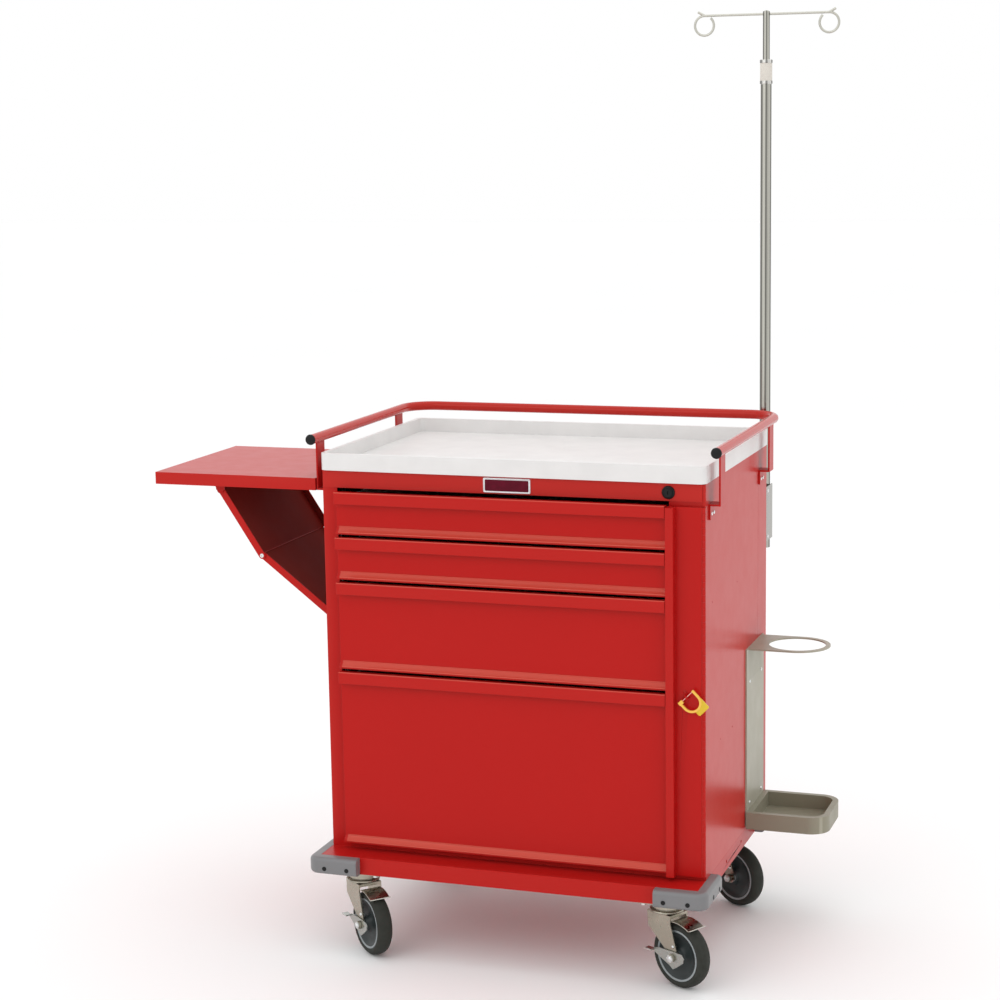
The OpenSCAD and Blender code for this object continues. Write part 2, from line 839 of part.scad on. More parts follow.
module oxygen_cup() {
  x0 = half_w + plate_t;
  x1 = half_w + cup_reach;
  color("tan") place() difference() {
    cup_solid(x0, x1, cup_w, cup_r, base_top + 1, cup_h);
    cup_solid(x0 + cup_wall, x1 - cup_wall, cup_w - 2*cup_wall, cup_r - cup_wall, base_top + 6, cup_h);
  }
}

// ---------- casters ----------
module at_caster(i) {
  translate([caster_xy[i][0], caster_xy[i][1], 0]) rotate([0, 0, caster_ang[i]]) children();
}

module caster_plates() {
  color("silver") place() for (p = caster_xy) translate([p[0], p[1], 0]) {
    span([-48, -36, plate_z], [48, 36, base_z + 3]);
    translate([0, 0, 149.4]) cylinder(r = 28, h = plate_z - 149.4 + 1);
    translate([0, 0, 133]) cylinder(r = king_r, h = 18);
    translate([0, 0, 131]) cylinder(r = 9, h = 3);
  }
}

// fork with its raceway and axle bolt; axle along Y at (trail, wheel_r)
module fork(i) {
  color("silver") place() at_caster(i) {
    difference() {
      union() {
        translate([0, 0, 141]) cylinder(r = 29, h = 8);
        span([-28, -leg_in - leg_t, 136], [30, leg_in + leg_t, 141.5]);
      }
      translate([0, 0, 130]) cylinder(r = king_r + 0.06, h = 30);
    }
    for (y = [-leg_in - leg_t, leg_in]) {
      plate_xz(y, leg_t) polygon([[-28, 141], [30, 141], [30, 128], [trail + 11, wheel_r + 4],
        [trail + 9, wheel_r - 4], [trail - 9, wheel_r - 4], [trail - 12, wheel_r + 4], [-26, 112]]);
      rod_along_y([trail, y, wheel_r], 11, leg_t);
    }
    rod_along_y([trail, -33, wheel_r], axle_r, 61);
    rod_along_y([trail, -33, wheel_r], 8, 4.5);
    rod_along_y([trail, leg_in + leg_t, wheel_r], 8, 4.5);
  }
}

module fork_fl() { fork(0); }
module fork_fr() { fork(1); }
module fork_bl() { fork(2); }
module fork_br() { fork(3); }

module at_axle(i) {
  at_caster(i) translate([trail, 0, wheel_r]) rotate([90, 0, 0]) children();
}

// dished hub turning on the axle bolt
module hub(i) {
  color("slategray") place() at_axle(i) rotate_extrude($fn = 72) polygon([
    [axle_r + 0.06, -20], [14, -20], [17, -6], [42, -6], [46, -13], [hub_r, -13],
    [hub_r, 13], [46, 13], [42, 6], [17, 6], [14, 20], [axle_r + 0.06, 20]
  ]);
}

// rubber tread moulded round the hub rim
module tyre(i) {
  t = tread_w/2;
  color("darkslategray") place() at_axle(i) rotate_extrude($fn = 72) polygon([
    [hub_r, -14], [hub_r + 3, -t + 0.5], [hub_r + 7, -t], [wheel_r - 4, -t + 3], [wheel_r - 1, -t + 8],
    [wheel_r, -2], [wheel_r, 2], [wheel_r - 1, t - 8], [wheel_r - 4, t - 3], [hub_r + 7, t],
    [hub_r + 3, t - 0.5], [hub_r, 14]
  ]);
}

module hub_fl() { hub(0); }
module hub_fr() { hub(1); }
module hub_bl() { hub(2); }
module hub_br() { hub(3); }
module tyre_fl() { tyre(0); }
module tyre_fr() { tyre(1); }
module tyre_bl() { tyre(2); }
module tyre_br() { tyre(3); }

// stamped lever beside the wheel, pivoting on the axle
module brake_lever(i) {
  color("gainsboro") place() at_caster(i) translate([trail, 0, wheel_r]) difference() {
    union() {
      plate_xz(-28, 2.5) polygon([
        [-46, 8], [-36, 12], [24, 12], [30, 6], [28, -4], [12, -16], [2, -22], [-6, -16], [-30, -6], [-46, 2]
      ]);
      span([-62, -38, 5], [-44, -25.5, 7.5]);
    }
    rod_along_y([0, -40, 0], axle_r + 0.06, 20);
  }
}

module brake_lever_fl() { brake_lever(0); }
module brake_lever_fr() { brake_lever(1); }

base_frame();
corner_bumpers();
bumper_plugs();
side_panel_left();
side_panel_right();
back_panel();
front_frame();
slide_uprights();
top_deck();
work_tray();
guard_rail();
rail_end_caps();
rail_brackets();
panel_screws();
name_plate();
lock_bezel();
slide_channels();
flap_fixed_leaf();
hinge_pins();
shelf_wall_brackets();
iv_bracket();
iv_tube();
oxygen_bracket();
oxygen_cup();
caster_plates();
drawer_1_front();
drawer_1_box();
drawer_2_front();
drawer_2_box();
drawer_3_front();
drawer_3_box();
drawer_4_front();
drawer_4_box();
slide_mid_1();
slide_mid_2();
slide_mid_3();
slide_mid_4();
lock_plug();
flap_panel();
flap_moving_leaf();
break_seal();
side_shelf();
brace_upper();
brace_lower();
iv_rod();
iv_collar();
fork_fl();
fork_fr();
fork_bl();
fork_br();
hub_fl();
hub_fr();
hub_bl();
hub_br();
tyre_fl();
tyre_fr();
tyre_bl();
tyre_br();
brake_lever_fl();
brake_lever_fr();
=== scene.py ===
import math

import bmesh
import bpy
from mathutils import Matrix, Vector


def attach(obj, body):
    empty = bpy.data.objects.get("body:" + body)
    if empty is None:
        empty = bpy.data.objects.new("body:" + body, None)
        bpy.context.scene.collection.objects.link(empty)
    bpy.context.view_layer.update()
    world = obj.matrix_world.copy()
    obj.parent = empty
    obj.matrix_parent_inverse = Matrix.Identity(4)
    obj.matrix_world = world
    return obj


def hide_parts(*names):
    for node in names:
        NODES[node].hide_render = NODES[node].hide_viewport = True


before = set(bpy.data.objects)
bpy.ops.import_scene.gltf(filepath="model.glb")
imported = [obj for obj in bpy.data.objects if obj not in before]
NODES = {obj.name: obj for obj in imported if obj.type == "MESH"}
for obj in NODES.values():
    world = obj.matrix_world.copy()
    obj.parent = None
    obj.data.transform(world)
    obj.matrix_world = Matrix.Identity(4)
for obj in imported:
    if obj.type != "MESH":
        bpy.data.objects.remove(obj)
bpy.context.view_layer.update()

# The part's own source works in millimetres about the cabinet's front centre; this is its shift.
SHIFT = Vector((103.0, -240.6, 0.0))
MM = 0.001


def at(x, y, z):
    """A point of the cabinet's millimetre frame as metres in the row frame."""
    return (Vector((x, y, z)) + SHIFT) * MM


# ---------------------------------------------------------------- materials
def node(nt, kind, **inputs):
    """A new shader node with the named inputs set."""
    n = nt.nodes.new(kind)
    for key, value in inputs.items():
        n.inputs[key.replace("_", " ")].default_value = value
    return n


def rgba(c):
    return (c[0], c[1], c[2], 1.0)


def scaled(c, k):
    return tuple(min(1.0, v * k) for v in c)


class Finish:
    """A Principled material whose colour, roughness and bump are worked out step by step."""

    def __init__(self, name, color, rough, metallic=0.0, specular=0.5):
        self.mat = bpy.data.materials.new(name)
        self.mat.use_nodes = True
        self.nt = self.mat.node_tree
        self.bsdf = self.nt.nodes["Principled BSDF"]
        self.bsdf.inputs["Metallic"].default_value = metallic
        self.bsdf.inputs["Specular IOR Level"].default_value = specular
        self.bsdf.inputs["Roughness"].default_value = rough
        self.coords = self.nt.nodes.new("ShaderNodeTexCoord").outputs["Object"]
        self.color = None
        self.base = color
        self.bump = None

    def noise(self, scale, detail=2.0, stretch=None):
        source = self.coords
        if stretch:
            m = self.nt.nodes.new("ShaderNodeMapping")
            m.inputs["Scale"].default_value = stretch
            self.nt.links.new(source, m.inputs["Vector"])
            source = m.outputs["Vector"]
        n = node(self.nt, "ShaderNodeTexNoise", Scale=scale, Detail=detail)
        self.nt.links.new(source, n.inputs["Vector"])
        return n.outputs["Fac"]

    def remap(self, value, lo, hi, to_lo, to_hi):
        m = self.nt.nodes.new("ShaderNodeMapRange")
        for i, v in ((1, lo), (2, hi), (3, to_lo), (4, to_hi)):
            m.inputs[i].default_value = v
        self.nt.links.new(value, m.inputs[0])
        return m.outputs[0]

    def tint(self, mask, color):
        """Mixes color over what is there by mask."""
        mix = self.nt.nodes.new("ShaderNodeMix")
        mix.data_type = "RGBA"
        if self.color is None:
            mix.inputs[6].default_value = rgba(self.base)
        else:
            self.nt.links.new(self.color, mix.inputs[6])
        mix.inputs[7].default_value = rgba(color)
        self.nt.links.new(mask, mix.inputs[0])
        self.color = mix.outputs[2]
        return self

    def mottle(self, scale, amount, detail=3.0, stretch=None):
        """Small lighter and darker clouds."""
        f = self.noise(scale, detail, stretch)
        self.tint(self.remap(f, 0.35, 0.65, 0.0, 1.0), scaled(self.base, 1 - amount))
        return self

    def edges(self, color, strength):
        """Painted highlight with some wear: brighter paint where the surface turns sharply outward."""
        g = self.nt.nodes.new("ShaderNodeNewGeometry")
        edge_highlight_and_wear = self.remap(g.outputs["Pointiness"], 0.53, 0.62, 0.0, strength)
        return self.tint(edge_highlight_and_wear, color)

    def paint_corner_shade(self, color, strength):
        """Painted shade: darker tone in the inner corners."""
        g = self.nt.nodes.new("ShaderNodeNewGeometry")
        corner_shade_mask = self.remap(g.outputs["Pointiness"], 0.47, 0.38, 0.0, strength)
        return self.tint(corner_shade_mask, color)

    def gloss(self, scale, lo, hi, detail=4.0, stretch=None):
        f = self.noise(scale, detail, stretch)
        self.nt.links.new(self.remap(f, 0.3, 0.7, lo, hi), self.bsdf.inputs["Roughness"])
        return self

    def relief(self, scale, strength, distance, detail=2.0, stretch=None):
        b = node(self.nt, "ShaderNodeBump", Strength=strength, Distance=distance)
        self.nt.links.new(self.noise(scale, detail, stretch), b.inputs["Height"])
        if self.bump is not None:
            self.nt.links.new(self.bump, b.inputs["Normal"])
        self.bump = b.outputs["Normal"]
        return self

    def done(self):
        if self.color is None:
            self.bsdf.inputs["Base Color"].default_value = rgba(self.base)
        else:
            self.nt.links.new(self.color, self.bsdf.inputs["Base Color"])
        if self.bump is not None:
            self.nt.links.new(self.bump, self.bsdf.inputs["Normal"])
        return self.mat


RED = (0.46, 0.0055, 0.0055)
# Noise stretched so that its marks run down a piece.
DOWNWARD = (1.0, 1.0, 0.01)


def red_coat(name, color=RED, rough=0.3, specular=0.2):
    f = Finish(name, color, rough, specular=specular)
    f.bsdf.inputs["Specular Tint"].default_value = (1.0, 0.88, 0.76, 1.0)
    # Lighter outer edges are a painted highlight with some wear; the darker corners are painted shade.
    f.mottle(5, 0.03).mottle(60, 0.02).edges((0.78, 0.16, 0.12), 0.08).paint_corner_shade((0.10, 0.001, 0.001), 0.4)
    f.gloss(30, rough * 0.94, rough * 1.06).relief(170, 0.03, 0.0003, 1)
    return f.done()


def zinc_plate(name, tone):
    f = Finish(name, tone, 0.3, metallic=1.0)
    # Lighter outer edges are a painted highlight with some wear; the darker corners are painted shade.
    f.mottle(30, 0.07, 3).mottle(8, 0.08).edges((0.92, 0.92, 0.9), 0.6).paint_corner_shade((0.10, 0.09, 0.07), 0.6)
    f.gloss(60, 0.22, 0.34).relief(240, 0.02, 0.0002)
    return f.done()


# The last argument sets how strongly the sharp outer edges are painted lighter, as a painted highlight with
# some wear.
def plastic(name, color, rough, specular=0.45, grain=420, depth=0.0003, edge_highlight_and_wear=0.15):
    f = Finish(name, color, rough, specular=specular)
    f.mottle(18, 0.05).edges(scaled(color, 1.35), edge_highlight_and_wear)
    f.gloss(40, rough * 0.92, rough * 1.1).relief(grain, 0.04, depth)
    return f.done()


def brushed_stainless():
    tone = (0.21, 0.20, 0.17)
    f = Finish("brushed_stainless", tone, 0.2, metallic=1.0)
    f.mottle(500, 0.12, 2, DOWNWARD).mottle(10, 0.06).edges((0.95, 0.95, 0.93), 0.3)
    f.gloss(600, 0.14, 0.3, 2, DOWNWARD).relief(1600, 0.05, 0.0002, 1, DOWNWARD)
    return f.done()


POLE = Vector((367.0, 563.0, 0.0))
# The pole's lines are laid out across this direction, the photo's left to right.
ACROSS = Vector((math.cos(math.radians(19)), math.sin(math.radians(19)), 0.0))
# How dark the pole's painted reflection lines are from its left edge (0) to its right edge (1): (place,
# darkness).
POLE_REFLECTION_LINES = [
    (0.0, 0.1), (0.015, 1.0), (0.13, 0.8), (0.2, 0.05), (0.36, 0.1), (0.42, 0.95), (0.52, 0.8),
    (0.6, 0.3), (0.7, 0.35), (0.78, 0.1), (0.88, 0.9), (0.985, 1.0), (1.0, 0.1),
]


def reflection_lined_tube(name, radius, tone=(0.60, 0.59, 0.53)):
    """Drawn stainless tube with painted reflections: dark and bright lines running down its length."""
    f = Finish(name, tone, 0.2, metallic=1.0)
    f.mottle(500, 0.12, 2, DOWNWARD).gloss(600, 0.14, 0.3, 2, DOWNWARD)
    across = ACROSS / (2 * radius * MM)
    dot = f.nt.nodes.new("ShaderNodeVectorMath")
    dot.operation = "DOT_PRODUCT"
    dot.inputs[1].default_value = across
    f.nt.links.new(f.coords, dot.inputs[0])
    shift = f.nt.nodes.new("ShaderNodeMath")
    shift.operation = "SUBTRACT"
    shift.inputs[1].default_value = at(*POLE).dot(across) - 0.5
    f.nt.links.new(dot.outputs["Value"], shift.inputs[0])
    ramp = f.nt.nodes.new("ShaderNodeValToRGB")
    stops = ramp.color_ramp.elements
    while len(stops) < len(POLE_REFLECTION_LINES):
        stops.new(0.5)
    for i, (place, _) in enumerate(POLE_REFLECTION_LINES):
        stops[i].position = place
    for i, (_, dark) in enumerate(POLE_REFLECTION_LINES):
        stops[i].color = (dark, dark, dark, 1.0)
    f.nt.links.new(shift.outputs[0], ramp.inputs["Fac"])
    return f.tint(ramp.outputs["Color"], scaled(tone, 0.2)).done()


def tyre_rubber():
    f = Finish("tyre_rubber", (0.030, 0.032, 0.026), 0.72, specular=0.3)
    f.mottle(14, 0.25).mottle(120, 0.15).edges((0.09, 0.095, 0.09), 0.3)
    f.gloss(60, 0.62, 0.86).relief(1300, 0.18, 0.0003, 3)
    return f.done()


def beige_coat():
    f = Finish("beige_powder_coat", (0.27, 0.25, 0.185), 0.4, specular=0.35)
    f.mottle(9, 0.06).edges((0.60, 0.58, 0.48), 0.3).gloss(30, 0.36, 0.46).relief(200, 0.04, 0.0003)
    return f.done()


def drawer_coat():
    f = Finish("grey_drawer_coat", (0.50, 0.50, 0.49), 0.45, specular=0.4)
    f.mottle(12, 0.05).edges((0.7, 0.7, 0.69), 0.3).gloss(35, 0.38, 0.55).relief(480, 0.05, 0.0004)
    return f.done()


def badge_chrome():
    f = Finish("badge_chrome", (0.78, 0.78, 0.80), 0.1, metallic=1.0)
    f.mottle(60, 0.06).edges((0.97, 0.97, 0.97), 0.3).gloss(80, 0.06, 0.16)
    return f.done()


def badge_enamel():
    f = Finish("badge_enamel", (0.12, 0.004, 0.018), 0.3, specular=0.1)
    f.mottle(70, 0.2).gloss(50, 0.12, 0.25)
    return f.done()


def studio_floor():
    f = Finish("studio_floor", (0.955, 0.955, 0.955), 0.8, specular=0.05)
    f.mottle(0.8, 0.01).gloss(3, 0.65, 0.75)
    return f.done()


TUBE_R, ROD_R, BAND_R = 11.0, 7.0, 12.9

MAT = {
    "red": red_coat("red_powder_coat"),
    # painted shade: a darker, duller red for the brace's inner faces
    "red_painted_shade": red_coat("red_coat_painted_shade", (0.17, 0.016, 0.012), 0.6, 0.03),
    # painted highlight: a lighter, glossier red for the drawer fronts' ledges and beads
    "red_painted_highlight": red_coat("red_coat_painted_highlight", (0.56, 0.055, 0.036), 0.24, 0.4),
    "red_rail": red_coat("red_rail_coat", (0.45, 0.012, 0.008), 0.16, 0.3),
    "zinc": zinc_plate("zinc_plate", (0.42, 0.39, 0.32)),
    "lever": zinc_plate("stamped_lever_plate", (0.44, 0.45, 0.42)),
    "slide": zinc_plate("rolled_slide_steel", (0.50, 0.51, 0.52)),
    "bolt": zinc_plate("bright_bolt_plate", (0.76, 0.78, 0.78)),
    "stainless": brushed_stainless(),
    # The pole, rod and collar bands carry painted reflections: fixed dark and bright lines down their length.
    "pole_tube": reflection_lined_tube("outer_tube_painted_reflections", TUBE_R),
    "pole_rod": reflection_lined_tube("inner_rod_painted_reflections", ROD_R),
    "pole_band": reflection_lined_tube("collar_band_painted_reflections", BAND_R, (0.85, 0.84, 0.80)),
    "bumper": plastic("grey_bumper_plastic", (0.185, 0.185, 0.19), 0.33, 0.5),
    "black": plastic("black_plastic", (0.006, 0.006, 0.0065), 0.45, 0.25),
    "white": plastic("white_tray_plastic", (0.755, 0.742, 0.732), 0.3, 0.3, 260, 0.0002, 0.1),
    "hub": plastic("hub_plastic", (0.030, 0.038, 0.038), 0.42, 0.35, edge_highlight_and_wear=0.35),
    "hub_ring": plastic("hub_ring_plastic", (0.30, 0.33, 0.34), 0.38),
    "seal": plastic("yellow_seal_plastic", (0.86, 0.50, 0.07), 0.32, 0.5, 700, 0.0002, 0.3),
    "seal_tab": plastic("yellow_seal_tab", (0.68, 0.46, 0.02), 0.32, 0.4, 700, 0.0002, 0.3),
    "seal_wire": plastic("pale_seal_wire", (0.85, 0.42, 0.36), 0.3, 0.5),
    "grip": plastic("collar_grip", (0.66, 0.62, 0.56), 0.45),
    "tyre": tyre_rubber(),
    "beige": beige_coat(),
    "drawer": drawer_coat(),
    "chrome": badge_chrome(),
    "enamel": badge_enamel(),
}


# ---------------------------------------------------------------- mesh tools
# Edges that turn by more than this many degrees count as sharp, where a piece does not say otherwise.
SHARP = 35.0
CORNER_STEPS = 6


def finish_piece(name, bm, body, mat, bevel=0.0, segments=2, split=SHARP):
    """Turns a bmesh in millimetres into a named piece riding on a body."""
    bmesh.ops.remove_doubles(bm, verts=bm.verts, dist=0.001)
    bmesh.ops.recalc_face_normals(bm, faces=bm.faces)
    bm.transform(Matrix.Scale(MM, 4) @ Matrix.Translation(SHIFT))
    mesh = bpy.data.meshes.new(name)
    bm.to_mesh(mesh)
    bm.free()
    mesh.polygons.foreach_set("use_smooth", [True] * len(mesh.polygons))
    mesh.materials.append(MAT[mat])
    obj = bpy.data.objects.new(name, mesh)
    bpy.context.scene.collection.objects.link(obj)
    shade(obj, bevel, segments, split)
    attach(obj, body)
    return obj


def shade(obj, bevel, segments, split, weld=False):
    """Rounds the sharp edges by bevel mm and keeps the rest smooth; weld first joins doubled points."""
    if weld:
        w = obj.modifiers.new("weld", "WELD")
        w.merge_threshold = 2e-6
    if bevel:
        b = obj.modifiers.new("round", "BEVEL")
        b.width = bevel * MM
        b.segments = segments
        b.limit_method = "ANGLE"
        b.angle_limit = math.radians(split)
        b.harden_normals = True
        b.miter_outer = "MITER_ARC"
    else:
        s = obj.modifiers.new("split", "EDGE_SPLIT")
        s.split_angle = math.radians(split)


def lathe(bm, profile, steps=64, matrix=None, closed=True):
    """Revolves (radius, height) points about local Z; closed joins the last point to the first."""
    rings = []
    for r, z in profile:
        if r < 1e-6:
            rings.append([bm.verts.new((0, 0, z))])
        else:
            ring = []
            for i in range(steps):
                a = 2 * math.pi * i / steps
                ring.append(bm.verts.new((r * math.cos(a), r * math.sin(a), z)))
            rings.append(ring)
    pairs = list(zip(rings, rings[1:]))
    if closed:
        pairs.append((rings[-1], rings[0]))
    for a, b in pairs:
        for i in range(steps):
            j = (i + 1) % steps
            quad = [a[i % len(a)], a[j % len(a)], b[j % len(b)], b[i % len(b)]]
            corner = list(dict.fromkeys(quad))
            if len(corner) > 2:
                bm.faces.new(corner)
    if matrix is not None:
        made = [v for ring in rings for v in ring]
        bmesh.ops.transform(bm, matrix=matrix, verts=made)


def box(bm, lo, hi, matrix=None):
    """A block between two opposite corners."""
    made = bmesh.ops.create_cube(bm, size=1.0)["verts"]
    lo, hi = Vector(lo), Vector(hi)
    size = Matrix.Diagonal((hi - lo).to_4d())
    size[3][3] = 1.0
    m = Matrix.Translation((lo + hi) / 2) @ size
    bmesh.ops.transform(bm, matrix=(matrix @ m) if matrix is not None else m, verts=made)


def prism(bm, outline, z0, z1, matrix=None):
    """Extrudes an outline of (x, y) points from z0 to z1."""
    low = [bm.verts.new((x, y, z0)) for x, y in outline]
    top = [bm.verts.new((x, y, z1)) for x, y in outline]
    n = len(outline)
    bm.faces.new(list(reversed(low)))
    bm.faces.new(top)
    for i in range(n):
        j = (i + 1) % n
        bm.faces.new([low[i], low[j], top[j], top[i]])
    if matrix is not None:
        bmesh.ops.transform(bm, matrix=matrix, verts=low + top)


def wire(bm, start, end, r, sides):
    """A straight round wire with rounded ends."""
    start, end = Vector(start), Vector(end)
    t = (end - start).normalized()
    up = t.orthogonal().normalized()
    side = t.cross(up)
    rings = []
    for p in (start, end):
        ring = []
        for k in range(sides):
            a = 2 * math.pi * k / sides
            ring.append(bm.verts.new(p + (up * math.cos(a) + side * math.sin(a)) * r))
        rings.append(ring)
    join_rings(bm, *rings)
    for ring, p, sign in ((rings[0], start, -1), (rings[1], end, 1)):
        last = ring
        for step in (0.5, 0.85):
            shrink = math.sqrt(1 - step * step)
            cap = [bm.verts.new(p + (v.co - p) * shrink + t * sign * r * step) for v in ring]
            join_rings(bm, last, cap)
            last = cap
        tip = bm.verts.new(p + t * sign * r)
        for k in range(sides):
            bm.faces.new([last[k], last[(k + 1) % sides], tip])


def join_rings(bm, a, b):
    """Joins two equal rings of vertices with a band of quads."""
    for k in range(len(a)):
        j = (k + 1) % len(a)
        bm.faces.new([a[k], a[j], b[j], b[k]])


def arc(cx, cy, r, a0, a1, steps):
    """Points (x, y) on a circle from angle a0 to a1 in degrees."""
    out = []
    for i in range(steps + 1):
        a = math.radians(a0 + (a1 - a0) * i / steps)
        out.append((cx + r * math.cos(a), cy + r * math.sin(a)))
    return out


def rounded_rect(x0, y0, x1, y1, r):
    """A rectangle's outline with its four corners rounded by r."""
    out = []
    out += arc(x1 - r, y0 + r, r, -90, 0, CORNER_STEPS)
    out += arc(x1 - r, y1 - r, r, 0, 90, CORNER_STEPS)
    out += arc(x0 + r, y1 - r, r, 90, 180, CORNER_STEPS)
    out += arc(x0 + r, y0 + r, r, 180, 270, CORNER_STEPS)
    return out


def facing(direction, point):
    """A matrix whose +Z points along direction, at point."""
    z = Vector(direction).normalized()
    q = z.to_track_quat("Z", "Y")
    return Matrix.Translation(point) @ q.to_matrix().to_4x4()


# ---------------------------------------------------------------- CAD nodes that stay
# node: (material, edge rounding in mm, rounding segments)
KEEP = {
    "base_frame": ("red", 0.9, 2),
    "corner_bumpers": ("bumper", 2.2, 3),
    "bumper_plugs": ("black", 0.4, 2),
    "side_panel_left": ("red", 0.0, 0),
    "side_panel_right": ("red", 0.0, 0),
    "back_panel": ("red", 0.35, 1),
    "front_frame": ("red", 0.0, 0),
    "slide_uprights": ("slide", 0.4, 1),
    "top_deck": ("red", 0.5, 1),
    "work_tray": ("white", 2.6, 4),
    "guard_rail": ("red_rail", 0.0, 0),
    "rail_brackets": ("red", 0.7, 2),
    "slide_channels": ("slide", 0.0, 0),
    "hinge_pins": ("bolt", 0.3, 2),
    "shelf_wall_brackets": ("red", 0.6, 2),
    "iv_bracket": ("stainless", 0.8, 2),
    "iv_tube": ("pole_tube", 0.6, 2),
    "oxygen_bracket": ("beige", 0.0, 0),
    "oxygen_cup": ("beige", 4.0, 4),
    "caster_plates": ("zinc", 0.8, 2),
    "lock_plug": ("black", 0.4, 2),
    "flap_panel": ("red", 0.7, 2),
    "side_shelf": ("red", 0.8, 2),
    "iv_rod": ("pole_rod", 0.7, 2),
}
for k in range(1, 5):
    KEEP[f"drawer_{k}_front"] = ("red", 0.55, 2)
    KEEP[f"drawer_{k}_box"] = ("drawer", 0.4, 1)
    KEEP[f"slide_mid_{k}"] = ("slide", 0.0, 0)
for c in ("fl", "fr", "bl", "br"):
    KEEP[f"fork_{c}"] = ("zinc", 1.0, 3)
for c in ("fl", "fr"):
    KEEP[f"brake_lever_{c}"] = ("lever", 0.8, 2)

for name, (mat, bevel, segments) in KEEP.items():
    obj = NODES[name]
    mesh = obj.data
    if "custom_normal" in mesh.attributes:
        mesh.attributes.remove(mesh.attributes["custom_normal"])
    mesh.polygons.foreach_set("use_smooth", [True] * len(mesh.polygons))
    if "sharp_edge" in mesh.attributes:
        mesh.attributes.remove(mesh.attributes["sharp_edge"])
    mesh.materials.clear()
    mesh.materials.append(MAT[mat])
    mesh.polygons.foreach_set("material_index", [0] * len(mesh.polygons))
    shade(obj, bevel, segments, SHARP, weld=True)


# ---------------------------------------------------------------- piano hinge
# Foot of the hinge's axis, then its length and knuckles.
HINGE = Vector((378.5, -4.7, 207.0))
HINGE_LEN = 706.0
KNUCKLE_PITCH = 12.6
KNUCKLE_GAP = 0.3
KNUCKLE_R = 3.5
PIN_HOLE_R = 1.55


def hinge_leaf(name, body, parity, leaf_x, leaf_y, node_name):
    """A leaf and every second knuckle; parity 0 is the frame's leaf and 1 the flap's."""
    bm = bmesh.new()
    box(bm, (leaf_x[0], leaf_y[0], HINGE.z), (leaf_x[1], leaf_y[1], HINGE.z + HINGE_LEN))
    for i in range(parity, int(HINGE_LEN // KNUCKLE_PITCH), 2):
        z0 = HINGE.z + KNUCKLE_GAP / 2 + i * KNUCKLE_PITCH
        z1 = z0 + KNUCKLE_PITCH - KNUCKLE_GAP
        profile = [(PIN_HOLE_R, z0), (KNUCKLE_R - 0.25, z0), (KNUCKLE_R, z0 + 0.3)]
        profile += [(KNUCKLE_R, z1 - 0.3), (KNUCKLE_R - 0.25, z1), (PIN_HOLE_R, z1)]
        lathe(bm, profile, 24, Matrix.Translation((HINGE.x, HINGE.y, 0)))
        box(bm, (leaf_x[1] - 0.8, leaf_y[0], z0), (HINGE.x - 1.7, leaf_y[1], z1))
    if parity:
        # rolled lip that covers the gap in front of the frame's knuckles
        box(bm, (leaf_x[1] - 0.6, -8.2, HINGE.z), (HINGE.x - 1.9, -7.75, HINGE.z + HINGE_LEN))
    piece = finish_piece(name, bm, body, "red", split=30)
    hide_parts(node_name)


hinge_leaf("hinge_leaf_on_frame", "cabinet", 0, (HINGE.x - 22, HINGE.x - 3.9), (-1.6, 0.0), "flap_fixed_leaf")
hinge_leaf("hinge_leaf_on_flap", "flap", 1, (329.5, HINGE.x - 3.7), (-8.0, -6.8), "flap_moving_leaf")


# ---------------------------------------------------------------- rolled edges of the drawer fronts, painted lighter as highlights
ALONG_X = Matrix(((0, 0, 1, 0), (1, 0, 0, 0), (0, 1, 0, 0), (0, 0, 0, 1)))
FRONT_LEFT, FRONT_RIGHT = -348.7, 308.7
LEDGE_LEFT = -343.0
# Outlines as (y, height): the ledge's from the front's lower edge, the bead's from its upper edge.
LEDGE = [
    (-11.8, 15.4), (-12.6, 15.6), (-13.2, 15.0), (-13.2, 14.2), (-12.6, 13.6), (-12.9, 13.1), (-19.1, 5.6),
    (-19.7, 5.4), (-20.1, 4.8), (-20.1, 3.4), (-19.6, 2.9), (-18.9, 2.9), (-18.4, 4.6), (-11.6, 13.4),
]
BEAD = [(-24.2, 0.25), (-25.0, 0.25), (-25.4, -0.3), (-25.4, -1.1), (-25.0, -1.6), (-24.2, -1.6)]


def painted_highlight_edges(k):
    """Beads along the bottom ledge and the top of the handle band, in a lighter red that paints their
    highlights.
    """
    front = NODES[f"drawer_{k}_front"]
    heights = [(front.matrix_world @ Vector(c)).z / MM for c in front.bound_box]
    low, top = min(heights), max(heights)
    bm = bmesh.new()
    prism(bm, [(y, low + z) for y, z in LEDGE], LEDGE_LEFT, FRONT_RIGHT, ALONG_X)
    prism(bm, [(y, top + z) for y, z in BEAD], FRONT_LEFT, FRONT_RIGHT, ALONG_X)
    finish_piece(f"painted_highlight_edges_{k}", bm, f"drawer_{k}", "red_painted_highlight", split=40)


for k in range(1, 5):
    painted_highlight_edges(k)


# ---------------------------------------------------------------- name plate, lock, screws
FACING_FRONT = Matrix.Rotation(math.radians(90), 4, "X")
PLATE_LEFT, PLATE_RIGHT, PLATE_LOW, PLATE_TOP = -50, 44, 924, 953
BEAD_Y = -3.6
LOCK = Vector((311.0, 0.0, 938.0))


